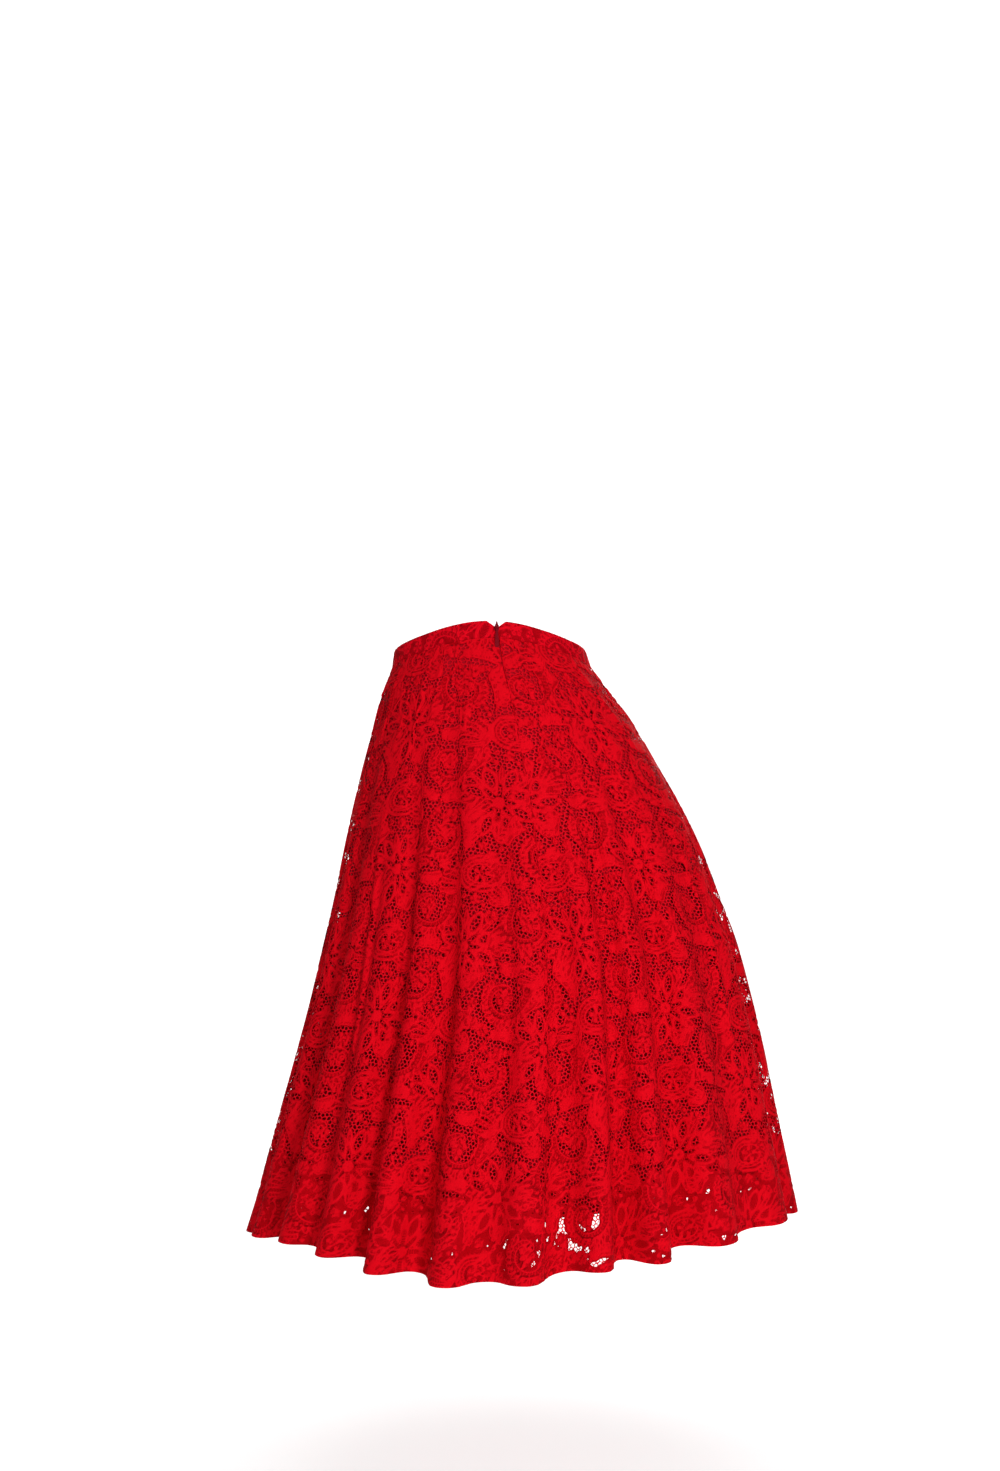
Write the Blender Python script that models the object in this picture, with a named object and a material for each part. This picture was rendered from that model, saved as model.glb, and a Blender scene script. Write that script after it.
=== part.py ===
"""A lined lace skirt with deep flutes, in the hollow form that it takes when it is worn.

Metres, +Z up. The wearer faces -Y, so the centre back with its zip is at +Y and the wearer's left is +X.
The origin is the middle of the waist, level with the top of the waistband at the side seams.
"""

import math
from collections import namedtuple

import bmesh
import bpy
from mathutils import Matrix, Vector

MM = 0.001
SEAM_GAP = 0.3 * MM

# Materials, each with the thickness of the walls or plates made of it
Stuff = namedtuple("Stuff", "thickness colour roughness metallic")
LACE = Stuff(thickness=1.2 * MM, colour=(0.50, 0.004, 0.010), roughness=0.70, metallic=0.0)
LINING = Stuff(thickness=1.0 * MM, colour=(0.42, 0.003, 0.008), roughness=0.45, metallic=0.0)
BAND = Stuff(thickness=2.6 * MM, colour=(0.46, 0.003, 0.012), roughness=0.65, metallic=0.0)
TAPE = Stuff(thickness=0.8 * MM, colour=(0.22, 0.002, 0.006), roughness=0.80, metallic=0.0)
METAL = Stuff(thickness=1.0 * MM, colour=(0.20, 0.003, 0.006), roughness=0.35, metallic=0.6)

# Waist: half an ellipse each side, standing higher at the centre back than at the sides
WAIST_HALF_WIDTH = 0.123
WAIST_HALF_DEPTH = 0.093
WAIST_MEAN_LIFT = 6.4 * MM
WAIST_TILT = 24.7 * MM
WAIST_PEAK = 2.0 * MM
BAND_HEIGHT = 22.0 * MM
BAND_ROWS = 3
BAND_COLUMNS_PER_FLUTE = 4
NOTCH_HALF_WIDTH = 12.0 * MM
NOTCH_DEPTH = 9.0 * MM

# Lace skirt: how far the hem hangs below the line of its sides, and the grid of its walls
HEM_MEAN_DIP = 7.0 * MM
HEM_TILT = 12.0 * MM
COLUMNS_PER_FLUTE = 7
FLUTE_GROWTH = 1.15
FLANK_STEEPNESS = 0.35

# The crests' envelope at each height: drop below the waist seam, then the reach to each side of the origin
Section = namedtuple("Section", "drop left right back front")
SECTIONS = (
    Section(drop=0.000, left=0.1255, right=0.1300, back=0.0960, front=0.0940),
    Section(drop=0.038, left=0.140, right=0.157, back=0.113, front=0.106),
    Section(drop=0.069, left=0.148, right=0.180, back=0.126, front=0.116),
    Section(drop=0.100, left=0.157, right=0.200, back=0.138, front=0.126),
    Section(drop=0.161, left=0.173, right=0.237, back=0.160, front=0.146),
    Section(drop=0.223, left=0.187, right=0.268, back=0.181, front=0.167),
    Section(drop=0.285, left=0.200, right=0.292, back=0.201, front=0.187),
    Section(drop=0.346, left=0.215, right=0.315, back=0.220, front=0.207),
    Section(drop=0.408, left=0.230, right=0.332, back=0.239, front=0.227),
    Section(drop=0.469, left=0.247, right=0.347, back=0.257, front=0.246),
    Section(drop=0.531, left=0.265, right=0.360, back=0.274, front=0.265),
    Section(drop=0.593, left=0.283, right=0.373, back=0.290, front=0.283),
    Section(drop=0.654, left=0.300, right=0.386, back=0.305, front=0.300),
    Section(drop=0.688, left=0.311, right=0.393, back=0.313, front=0.309),
)
HEM_DROP = SECTIONS[-1].drop

# One row for each flute: its crest's angle from the centre back towards the wearer's left, in degrees,
# how deep the trough after it is at the hem, the share of the skirt's length at which that trough starts,
# and how much lower the hem hangs at the crest
Flute = namedtuple("Flute", "crest depth start hem")
FLUTES = (
    Flute(crest=0, depth=0.028, start=0.10, hem=0.003),
    Flute(crest=16, depth=0.046, start=0.04, hem=0.008),
    Flute(crest=31, depth=0.046, start=0.12, hem=0.002),
    Flute(crest=43, depth=0.026, start=0.30, hem=-0.007),
    Flute(crest=56, depth=0.036, start=0.08, hem=-0.009),
    Flute(crest=72, depth=0.034, start=0.20, hem=0.004),
    Flute(crest=88, depth=0.044, start=0.06, hem=0.020),
    Flute(crest=106, depth=0.040, start=0.14, hem=0.012),
    Flute(crest=124, depth=0.050, start=0.05, hem=0.006),
    Flute(crest=143, depth=0.042, start=0.18, hem=0.000),
    Flute(crest=162, depth=0.046, start=0.07, hem=-0.002),
    Flute(crest=180, depth=0.038, start=0.16, hem=-0.004),
    Flute(crest=198, depth=0.048, start=0.06, hem=-0.006),
    Flute(crest=218, depth=0.042, start=0.15, hem=-0.006),
    Flute(crest=236, depth=0.040, start=0.05, hem=-0.006),
    Flute(crest=254, depth=0.042, start=0.12, hem=-0.006),
    Flute(crest=272, depth=0.032, start=0.10, hem=-0.006),
    Flute(crest=294, depth=0.028, start=0.22, hem=-0.022),
    Flute(crest=317, depth=0.046, start=0.05, hem=-0.021),
    Flute(crest=333, depth=0.044, start=0.10, hem=-0.013),
    Flute(crest=345, depth=0.036, start=0.15, hem=-0.010),
)
FLUTE_COUNT = len(FLUTES)

# Seams, counted in flutes from the first crest: the centre back lies just before it
CENTRE_SEAM = -0.24
LEFT_SIDE_SEAM = 6
RIGHT_SIDE_SEAM = 16
WHOLE_ROUND = (CENTRE_SEAM, CENTRE_SEAM + FLUTE_COUNT)
Panel = namedtuple("Panel", "name start end")
PANELS = (
    Panel(name="back_left", start=CENTRE_SEAM, end=LEFT_SIDE_SEAM),
    Panel(name="front", start=LEFT_SIDE_SEAM, end=RIGHT_SIDE_SEAM),
    Panel(name="back_right", start=RIGHT_SIDE_SEAM, end=CENTRE_SEAM + FLUTE_COUNT),
)

# Open gaps of the lace, at most one in a cell of the wall's grid
GAP_WIDTH = 7.0 * MM
GAP_HEIGHT = 13.0 * MM
GAP_SLANT = 0.35
GAP_SHARE_OF_CELL = 0.62
SMALLEST_GAP = 4.2 * MM
FIRST_GAP_ROW = 3
GAP_REPEAT = 8
DENSE_GAP_ROW = 8
DENSE_GAP_REPEAT = 6
GAP_SHIFT_EACH_ROW = 3

# Lining: its hem, and how far it stands inside the lace and how much of the flutes it takes, by height
LINING_COLUMNS_PER_FLUTE = 4
LiningRow = namedtuple("LiningRow", "drop inset flute_share")
LINING_ROWS = (
    LiningRow(drop=0.000, inset=0.0015, flute_share=1.00),
    LiningRow(drop=0.038, inset=0.0022, flute_share=1.00),
    LiningRow(drop=0.100, inset=0.0036, flute_share=0.95),
    LiningRow(drop=0.223, inset=0.0075, flute_share=0.85),
    LiningRow(drop=0.346, inset=0.0150, flute_share=0.70),
    LiningRow(drop=0.469, inset=0.0250, flute_share=0.55),
    LiningRow(drop=0.560, inset=0.0330, flute_share=0.48),
    LiningRow(drop=0.636, inset=0.0400, flute_share=0.42),
)

# Zip: a tape behind the centre back, a slider at its top and a pull tab on the slider's pin
TAPE_HALF_WIDTH = 12.0 * MM
TAPE_COLUMNS = 4
TAPE_LEVEL_ROWS = 2
TapeRow = namedtuple("TapeRow", "height inset")
TAPE_ROWS = (
    TapeRow(height=0.0095, inset=0.0029),
    TapeRow(height=0.0220, inset=0.0029),
    TapeRow(height=0.0310, inset=0.0017),
    TapeRow(height=0.0600, inset=0.0016),
    TapeRow(height=0.0910, inset=0.0022),
    TapeRow(height=0.1220, inset=0.0018),
    TapeRow(height=0.1530, inset=0.0024),
    TapeRow(height=0.1830, inset=0.0026),
)
SLIDER_THICKNESS = 1.6 * MM
SLIDER_HEIGHT_DOWN_BAND = 7.5 * MM
OutlinePoint = namedtuple("OutlinePoint", "half_width height")
SLIDER_OUTLINE = (
    OutlinePoint(half_width=0.0018, height=-0.0060),
    OutlinePoint(half_width=0.0026, height=-0.0035),
    OutlinePoint(half_width=0.0026, height=0.0010),
    OutlinePoint(half_width=0.0014, height=0.0035),
    OutlinePoint(half_width=0.0007, height=0.0065),
)
EAR_THICKNESS = 0.9 * MM
EAR_RADIUS = 1.2 * MM
PIN_RADIUS = 0.55 * MM
PIN_STAND_OFF = 3.5 * MM
PIN_HEIGHT = -1.5 * MM
EYE_RADIUS = 1.5 * MM
EYE_BORE = 0.9 * MM
EYE_WIDTH = 2.0 * MM
EYE_SIDE_GAP = 0.3 * MM
PULL_OUTLINE = (
    OutlinePoint(half_width=0.0016, height=-0.0250),
    OutlinePoint(half_width=0.0023, height=-0.0240),
    OutlinePoint(half_width=0.0026, height=-0.0215),
    OutlinePoint(half_width=0.0022, height=-0.0140),
    OutlinePoint(half_width=0.0012, height=-0.0050),
    OutlinePoint(half_width=0.0009, height=-0.0008),
)
PULL_CLEARANCE = 0.5 * MM
ROUND_STEPS = 16


def between(low, high, share):
    return low + (high - low) * share


def read_table(rows, drop):
    """The row at a height, each column worked out between the two rows around it."""
    for above, below in zip(rows, rows[1:]):
        if drop <= below.drop:
            break
    share = (drop - above.drop) / (below.drop - above.drop)
    return type(above)(*(between(a, b, share) for a, b in zip(above, below)))


def waist_lift(angle):
    arch = WAIST_MEAN_LIFT * (1 + math.cos(2 * angle)) - WAIST_PEAK * (1 - math.cos(4 * angle))
    return arch + WAIST_TILT * math.cos(angle)


def hem_dip(angle, flute, through):
    """How far the hem hangs below the level of its sides: a tilt, and what each flute adds to it."""
    following = FLUTES[(FLUTES.index(flute) + 1) % FLUTE_COUNT]
    uneven = between(flute.hem, following.hem, (1 - math.cos(math.pi * through)) / 2)
    return HEM_MEAN_DIP + HEM_TILT * math.cos(angle) + uneven


def flute_place(flute):
    """(angle, which flute, how far through it) of a place counted in flutes from the first crest."""
    turns, index = divmod(math.floor(flute), FLUTE_COUNT)
    through = flute - math.floor(flute)
    start = FLUTES[index].crest
    end = FLUTES[index + 1].crest if index + 1 < FLUTE_COUNT else 360
    eased = through + FLANK_STEEPNESS / (4 * math.pi) * math.sin(4 * math.pi * through)
    return math.radians(360 * turns + between(start, end, eased)), FLUTES[index], through


def trough(flute, through, share):
    """How far the cloth lies inside the crests' envelope."""
    grown = max(share - flute.start, 0) / (1 - flute.start)
    return flute.depth * grown**FLUTE_GROWTH * (1 - math.cos(2 * math.pi * through)) / 2


def ring_point(left, right, back, front, angle, inward):
    """A point of a ring with a reach of its own to each side, moved inward in its own plane."""
    half_width = (left + right) / 2
    depth = back if math.cos(angle) > 0 else front
    sine, cosine = math.sin(angle), math.cos(angle)
    outward = Vector((depth * sine, half_width * cosine)).normalized()
    x = (left - right) / 2 + half_width * sine - outward.x * inward
    y = depth * cosine - outward.y * inward
    return x, y


def skirt_point(flute, drop, flute_share=1.0, inset=0.0):
    """A point of the lace's outer face, or of a face inside it that takes a share of its flutes."""
    section = read_table(SECTIONS, drop)
    share = drop / HEM_DROP
    angle, row, through = flute_place(flute)
    inward = inset + flute_share * trough(row, through, share)
    x, y = ring_point(section.left, section.right, section.back, section.front, angle, inward)
    z = -BAND_HEIGHT - drop + waist_lift(angle) * (1 - share) - hem_dip(angle, row, through) * share
    return Vector((x, y, z))


def band_point(flute, share, notch_depth=NOTCH_DEPTH):
    """A point of the waistband's outer face, from its top edge at 0 to its seam at 1."""
    angle, _, _ = flute_place(flute)
    from_centre = abs(WAIST_HALF_WIDTH * (math.sin(angle) - math.sin(flute_place(CENTRE_SEAM)[0])))
    notch = notch_depth * max(1 - from_centre / NOTCH_HALF_WIDTH, 0) if math.cos(angle) > 0 else 0.0
    drop = between(notch, BAND_HEIGHT, share)
    seam = SECTIONS[0]
    reaches = (
        between(WAIST_HALF_WIDTH, seam.left, drop / BAND_HEIGHT),
        between(WAIST_HALF_WIDTH, seam.right, drop / BAND_HEIGHT),
        between(WAIST_HALF_DEPTH, seam.back, drop / BAND_HEIGHT),
        between(WAIST_HALF_DEPTH + seam.front - seam.back, seam.front, drop / BAND_HEIGHT),
    )
    x, y = ring_point(*reaches, angle, 0.0)
    return Vector((x, y, waist_lift(angle) - drop))


def face_normal(point, flute, height, step=1e-3):
    """The outward normal of a surface given as point(flute, height)."""
    along = point(flute + step, height) - point(flute - step, height)
    down = point(flute, height + step) - point(flute, max(height - step, 0))
    return along.cross(down).normalized()


def finish(bm, name, stuff):
    """An object from a bmesh, with a material of its own."""
    mesh = bpy.data.meshes.new(name)
    bm.to_mesh(mesh)
    bm.free()
    mesh.shade_smooth()
    material = bpy.data.materials.new(name)
    material.use_nodes = True
    shader = material.node_tree.nodes["Principled BSDF"]
    shader.inputs["Base Color"].default_value = (*stuff.colour, 1)
    shader.inputs["Roughness"].default_value = stuff.roughness
    shader.inputs["Metallic"].default_value = stuff.metallic
    mesh.materials.append(material)
    piece = bpy.data.objects.new(name, mesh)
    bpy.context.scene.collection.objects.link(piece)
    return piece


def add_quad(bm, corners, inside_out=False):
    a, b, c, d = corners
    for triangle in ((a, b, c), (a, c, d)):
        bm.faces.new(triangle[::-1] if inside_out else triangle)


def add_gap(bm, outside, inside, wide, tall, slant):
    """One cell of the wall with a four-cornered gap through it, its sizes given as shares of the cell."""
    places = (
        (0.5 - slant * wide, 0.5 - tall / 2),
        (0.5 + wide / 2, 0.5),
        (0.5 + slant * wide, 0.5 + tall / 2),
        (0.5 - wide / 2, 0.5),
    )
    rims = []
    for corners in (outside, inside):
        a, b, c, d = (corner.co for corner in corners)
        rims.append([bm.verts.new(a.lerp(b, s).lerp(d.lerp(c, s), t)) for s, t in places])
    for k in range(4):
        m = (k + 1) % 4
        for corners, rim, flip in ((outside, rims[0], False), (inside, rims[1], True)):
            for triangle in ((corners[k], corners[m], rim[k]), (corners[m], rim[m], rim[k])):
                bm.faces.new(triangle[::-1] if flip else triangle)
        add_quad(bm, (rims[0][k], rims[0][m], rims[1][m], rims[1][k]))


def gap_in_cell(column, row, outside):
    """The gap of a cell as shares of its sizes, or None where the lace is closed."""
    repeat = DENSE_GAP_REPEAT if row >= DENSE_GAP_ROW else GAP_REPEAT
    if row < FIRST_GAP_ROW or (column + GAP_SHIFT_EACH_ROW * row) % repeat:
        return None
    width = (outside[1].co - outside[0].co).length
    height = (outside[3].co - outside[0].co).length
    wide = min(GAP_WIDTH, GAP_SHARE_OF_CELL * width)
    if wide < SMALLEST_GAP:
        return None
    return wide / width, min(GAP_HEIGHT / height, GAP_SHARE_OF_CELL), GAP_SLANT * (-1) ** row


def cloth_wall(name, point, span, heights, insets, columns, cloth, level_rows=1, gaps=False):
    """A wall of cloth from point(flute, height), between two seams, as one closed solid.

    The first level_rows rows have their thickness measured level, so that walls meet squarely at a seam.
    """
    bm = bmesh.new()
    start, end = span
    walls = []
    flutes = [between(start, end, c / columns) for c in range(columns + 1)]
    for depth in (0, cloth.thickness):
        wall = []
        for row, (height, inset) in enumerate(zip(heights, insets)):
            ring = []
            for flute in flutes:
                place = point(flute, height)
                normal = face_normal(point, flute, height)
                if row < level_rows:
                    normal = Vector((normal.x, normal.y, 0)).normalized()
                along = normal.cross(Vector((0, 0, 1))).normalized()
                seam = (flute == start) - (flute == end)
                ring.append(bm.verts.new(place - normal * (inset + depth) + along * seam * SEAM_GAP / 2))
            wall.append(ring)
        walls.append(wall)
    outer, inner = walls
    last = len(heights) - 1
    for r in range(last):
        for c in range(columns):
            outside = (outer[r + 1][c], outer[r + 1][c + 1], outer[r][c + 1], outer[r][c])
            inside = (inner[r + 1][c], inner[r + 1][c + 1], inner[r][c + 1], inner[r][c])
            gap = gap_in_cell(c, r, outside) if gaps else None
            if gap:
                add_gap(bm, outside, inside, *gap)
            else:
                add_quad(bm, outside)
                add_quad(bm, inside, inside_out=True)
        add_quad(bm, (outer[r][0], inner[r][0], inner[r + 1][0], outer[r + 1][0]))
        add_quad(bm, (outer[r][-1], outer[r + 1][-1], inner[r + 1][-1], inner[r][-1]))
    for c in range(columns):
        add_quad(bm, (outer[0][c], outer[0][c + 1], inner[0][c + 1], inner[0][c]))
        add_quad(bm, (outer[last][c], inner[last][c], inner[last][c + 1], outer[last][c + 1]))
    bmesh.ops.recalc_face_normals(bm, faces=bm.faces)
    if bm.calc_volume(signed=True) < 0:
        bmesh.ops.reverse_faces(bm, faces=bm.faces)
    return finish(bm, name, cloth)


def lace_panel(name, start, end):
    heights = [SEAM_GAP] + [section.drop for section in SECTIONS[1:]]
    insets = [0.0] * len(heights)
    columns = round((end - start) * COLUMNS_PER_FLUTE)
    return cloth_wall(name, skirt_point, (start, end), heights, insets, columns, LACE, gaps=True)


def lining_point(flute, drop):
    row = read_table(LINING_ROWS, drop)
    return skirt_point(flute, drop, row.flute_share, row.inset)


def lining_panel(name, start, end):
    heights = [SEAM_GAP] + [row.drop for row in LINING_ROWS[1:]]
    insets = [0.0] * len(heights)
    columns = round((end - start) * LINING_COLUMNS_PER_FLUTE)
    return cloth_wall(name, lining_point, (start, end), heights, insets, columns, LINING)


def waistband():
    heights = [row / (BAND_ROWS - 1) for row in range(BAND_ROWS)]
    insets = [0.0] * BAND_ROWS
    columns = FLUTE_COUNT * BAND_COLUMNS_PER_FLUTE
    return cloth_wall("waistband", band_point, WHOLE_ROUND, heights, insets, columns, BAND, BAND_ROWS)


def tape_point(across, height):
    """A point of the face that the tape lies behind, at a distance across from the centre back."""
    drop = max(height - BAND_HEIGHT, 0)
    section = read_table(SECTIONS, drop)
    flute = CENTRE_SEAM + across / ((section.left + section.right) / 2 * math.radians(FLUTES[1].crest))
    if drop > 0:
        return lining_point(flute, drop)
    return band_point(flute, height / BAND_HEIGHT, 0.0)


def zip_tape():
    heights = [row.height for row in TAPE_ROWS]
    insets = [row.inset for row in TAPE_ROWS]
    span = (-TAPE_HALF_WIDTH, TAPE_HALF_WIDTH)
    return cloth_wall("zip_tape", tape_point, span, heights, insets, TAPE_COLUMNS, TAPE, TAPE_LEVEL_ROWS)


def plate(name, outline, front, back):
    """A flat piece from an outline that is the same on both sides, between two distances along Y."""
    bm = bmesh.new()
    points = [(row.half_width, row.height) for row in outline]
    points += [(-row.half_width, row.height) for row in reversed(outline)]
    face = bm.faces.new([bm.verts.new((x, back, z)) for x, z in points])
    pushed = bmesh.ops.extrude_face_region(bm, geom=[face])
    verts = [item for item in pushed["geom"] if isinstance(item, bmesh.types.BMVert)]
    bmesh.ops.translate(bm, verts=verts, vec=(0, front - back, 0))
    bmesh.ops.recalc_face_normals(bm, faces=bm.faces)
    return finish(bm, name, METAL)


def rod(name, radius, low, high, place):
    """A round rod along X."""
    bm = bmesh.new()
    middle = place + Vector(((low + high) / 2, 0, 0))
    lying = Matrix.Translation(middle) @ Matrix.Rotation(math.pi / 2, 4, "Y")
    sizes = {"radius1": radius, "radius2": radius, "depth": high - low}
    bmesh.ops.create_cone(bm, cap_ends=True, segments=ROUND_STEPS, matrix=lying, **sizes)
    return finish(bm, name, METAL)


def block(name, low, high):
    bm = bmesh.new()
    size = Vector(high) - Vector(low)
    bmesh.ops.create_cube(bm, size=1)
    bmesh.ops.scale(bm, verts=bm.verts, vec=size)
    bmesh.ops.translate(bm, verts=bm.verts, vec=(Vector(high) + Vector(low)) / 2)
    return finish(bm, name, METAL)


def combine(piece, other, operation):
    """Joins a helper to a piece, or cuts it out of the piece."""
    modifier = piece.modifiers.new(other.name, "BOOLEAN")
    modifier.operation = operation
    modifier.object = other
    other.hide_render = True
    other.display_type = "WIRE"
    other.parent = piece


def zip_slider(frame):
    body = plate("zip_slider", SLIDER_OUTLINE, SLIDER_THICKNESS, 0)
    near = EYE_WIDTH / 2 + EYE_SIDE_GAP
    far = near + EAR_THICKNESS
    foot = SLIDER_THICKNESS / 2
    top = PIN_STAND_OFF + EAR_RADIUS
    for side, (low, high) in (("left", (near, far)), ("right", (-far, -near))):
        corners = (low, foot, PIN_HEIGHT - EAR_RADIUS), (high, top, PIN_HEIGHT + EAR_RADIUS)
        combine(body, block(f"ear_{side}", *corners), "UNION")
    reach = (near + far) / 2
    pin = Vector((0, PIN_STAND_OFF, PIN_HEIGHT))
    combine(body, rod("slider_pin", PIN_RADIUS, -reach, reach, pin), "UNION")
    body.parent = frame
    return body


def zip_pull(hinge):
    tab = plate("zip_pull", PULL_OUTLINE, METAL.thickness / 2, -METAL.thickness / 2)
    combine(tab, rod("pull_eye", EYE_RADIUS, -EYE_WIDTH / 2, EYE_WIDTH / 2, Vector()), "UNION")
    combine(tab, rod("pull_bore", EYE_BORE, -EYE_WIDTH, EYE_WIDTH, Vector()), "DIFFERENCE")
    tab.parent = hinge
    return tab


def plain_band_point(flute, share):
    return band_point(flute, share, 0.0)


def zip_frame():
    """(an empty on the band where the slider sits, an empty on the pull tab's hinge axis)"""
    place = plain_band_point(CENTRE_SEAM, SLIDER_HEIGHT_DOWN_BAND / BAND_HEIGHT)
    normal = face_normal(plain_band_point, CENTRE_SEAM, 0.5)
    turn = Matrix.Rotation(math.atan2(-normal.x, normal.y), 3, "Z")
    level = math.hypot(normal.x, normal.y)
    slider_turn = turn @ Matrix.Rotation(math.atan2(normal.z, level), 3, "X")
    slider_place = place + normal * SEAM_GAP
    pin = slider_turn @ Vector((0, PIN_STAND_OFF, PIN_HEIGHT)) + slider_place
    length = -PULL_OUTLINE[0].height
    cloth = skirt_point(CENTRE_SEAM, plain_band_point(CENTRE_SEAM, 1).z - (pin.z - length))
    outward = Vector((normal.x, normal.y, 0)).normalized()
    reach = (cloth - pin).dot(outward) + PULL_CLEARANCE + METAL.thickness / 2
    pull_turn = turn @ Matrix.Rotation(math.asin(reach / length), 3, "X")
    empties = []
    for name, at, turned in (("slider_frame", slider_place, slider_turn), ("pull_hinge", pin, pull_turn)):
        empty = bpy.data.objects.new(name, None)
        empty.matrix_world = Matrix.Translation(at) @ turned.to_4x4()
        bpy.context.scene.collection.objects.link(empty)
        empties.append(empty)
    return empties


bpy.context.scene.unit_settings.system = "METRIC"
for old in list(bpy.data.objects):
    bpy.data.objects.remove(old)

for panel, start, end in PANELS:
    lace_panel(f"lace_{panel}", start, end)
    lining_panel(f"lining_{panel}", start, end)
waistband()
zip_tape()
slider_frame, pull_hinge = zip_frame()
zip_slider(slider_frame)
zip_pull(pull_hinge)
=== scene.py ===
"""A lined circle skirt of red lace, seen from behind as it hangs when it is worn.

Metres, +Z up. The wearer faces -Y, so the centre back with its zip is at +Y and the wearer's left is +X.
"""

import math
from collections import namedtuple

import bmesh
import bpy
import numpy as np
from mathutils import Matrix, Vector


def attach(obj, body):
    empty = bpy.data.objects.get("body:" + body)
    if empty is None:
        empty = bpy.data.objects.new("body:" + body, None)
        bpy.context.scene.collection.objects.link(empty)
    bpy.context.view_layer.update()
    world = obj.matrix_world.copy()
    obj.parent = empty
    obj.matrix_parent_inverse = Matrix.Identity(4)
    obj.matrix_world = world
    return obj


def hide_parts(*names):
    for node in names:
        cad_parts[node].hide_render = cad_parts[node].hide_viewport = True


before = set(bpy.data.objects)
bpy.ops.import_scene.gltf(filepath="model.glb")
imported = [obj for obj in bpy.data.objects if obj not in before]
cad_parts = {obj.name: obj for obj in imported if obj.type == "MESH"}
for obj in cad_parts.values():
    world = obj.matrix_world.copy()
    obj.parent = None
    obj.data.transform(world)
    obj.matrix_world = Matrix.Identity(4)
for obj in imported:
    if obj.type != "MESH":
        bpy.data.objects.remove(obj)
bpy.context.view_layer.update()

# The camera stands behind the wearer at hip height and looks level along -Y,
# as in the photograph.
camera = bpy.data.objects.new("camera", bpy.data.cameras.new("camera"))
camera.location = (-0.0128, 2.75, -0.105)
camera.rotation_euler = (math.radians(90), 0, math.radians(180))
camera.data.lens = 52.45
bpy.context.scene.collection.objects.link(camera)
bpy.context.scene.camera = camera

# The lining: a plain satin-faced cloth under the lace, cut in three panels as the lace is but narrower at
# the hem, sewn into the waistband's seam with it, and hemmed about 5 cm above the lace's edge. It hangs, as
# the lace does, in one form: rings round the wearer, with a row of flutes that grow towards the hem.
MM = 0.001
BAND_HEIGHT = 22.0 * MM
Section = namedtuple("Section", "drop left right back front")
SECTIONS = (
    Section(drop=0.000, left=0.1255, right=0.1300, back=0.0960, front=0.0940),
    Section(drop=0.038, left=0.140, right=0.157, back=0.113, front=0.106),
    Section(drop=0.069, left=0.148, right=0.180, back=0.126, front=0.116),
    Section(drop=0.100, left=0.157, right=0.200, back=0.138, front=0.126),
    Section(drop=0.161, left=0.173, right=0.237, back=0.160, front=0.146),
    Section(drop=0.223, left=0.187, right=0.268, back=0.181, front=0.167),
    Section(drop=0.285, left=0.200, right=0.292, back=0.201, front=0.187),
    Section(drop=0.346, left=0.215, right=0.315, back=0.220, front=0.207),
    Section(drop=0.408, left=0.230, right=0.332, back=0.239, front=0.227),
    Section(drop=0.469, left=0.247, right=0.347, back=0.257, front=0.246),
    Section(drop=0.531, left=0.265, right=0.360, back=0.274, front=0.265),
    Section(drop=0.593, left=0.283, right=0.373, back=0.290, front=0.283),
    Section(drop=0.654, left=0.300, right=0.386, back=0.305, front=0.300),
    Section(drop=0.688, left=0.311, right=0.393, back=0.313, front=0.309),
)
HEM_DROP = SECTIONS[-1].drop
WAIST_MEAN_LIFT = 6.4 * MM
WAIST_PEAK = 2.0 * MM
WAIST_TILT = 24.7 * MM
HEM_MEAN_DIP = 7.0 * MM
HEM_TILT = 12.0 * MM
FLUTE_GROWTH = 1.15
FLANK_STEEPNESS = 0.35

# One row for each flute: its crest's angle from the centre back towards the wearer's left, in degrees,
# how deep the trough after it is at the hem, the share of the length at which that trough starts,
# and how much lower the hem hangs at the crest
Flute = namedtuple("Flute", "crest depth start hem")
FLUTES = (
    Flute(crest=0, depth=0.028, start=0.10, hem=0.003),
    Flute(crest=16, depth=0.046, start=0.04, hem=0.008),
    Flute(crest=31, depth=0.046, start=0.12, hem=0.002),
    Flute(crest=43, depth=0.026, start=0.30, hem=-0.007),
    Flute(crest=56, depth=0.036, start=0.08, hem=-0.009),
    Flute(crest=72, depth=0.034, start=0.20, hem=0.004),
    Flute(crest=88, depth=0.044, start=0.06, hem=0.020),
    Flute(crest=106, depth=0.040, start=0.14, hem=0.012),
    Flute(crest=124, depth=0.050, start=0.05, hem=0.006),
    Flute(crest=143, depth=0.042, start=0.18, hem=0.000),
    Flute(crest=162, depth=0.046, start=0.07, hem=-0.002),
    Flute(crest=180, depth=0.038, start=0.16, hem=-0.004),
    Flute(crest=198, depth=0.048, start=0.06, hem=-0.006),
    Flute(crest=218, depth=0.042, start=0.15, hem=-0.006),
    Flute(crest=236, depth=0.040, start=0.05, hem=-0.006),
    Flute(crest=254, depth=0.042, start=0.12, hem=-0.006),
    Flute(crest=272, depth=0.032, start=0.10, hem=-0.006),
    Flute(crest=294, depth=0.028, start=0.22, hem=-0.022),
    Flute(crest=317, depth=0.046, start=0.05, hem=-0.021),
    Flute(crest=333, depth=0.044, start=0.10, hem=-0.013),
    Flute(crest=345, depth=0.036, start=0.15, hem=-0.010),
)
FLUTE_COUNT = len(FLUTES)
CENTRE_SEAM = -0.24
Panel = namedtuple("Panel", "name start end")
PANELS = (
    Panel(name="back_left", start=CENTRE_SEAM, end=6),
    Panel(name="front", start=6, end=16),
    Panel(name="back_right", start=16, end=CENTRE_SEAM + FLUTE_COUNT),
)


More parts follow.
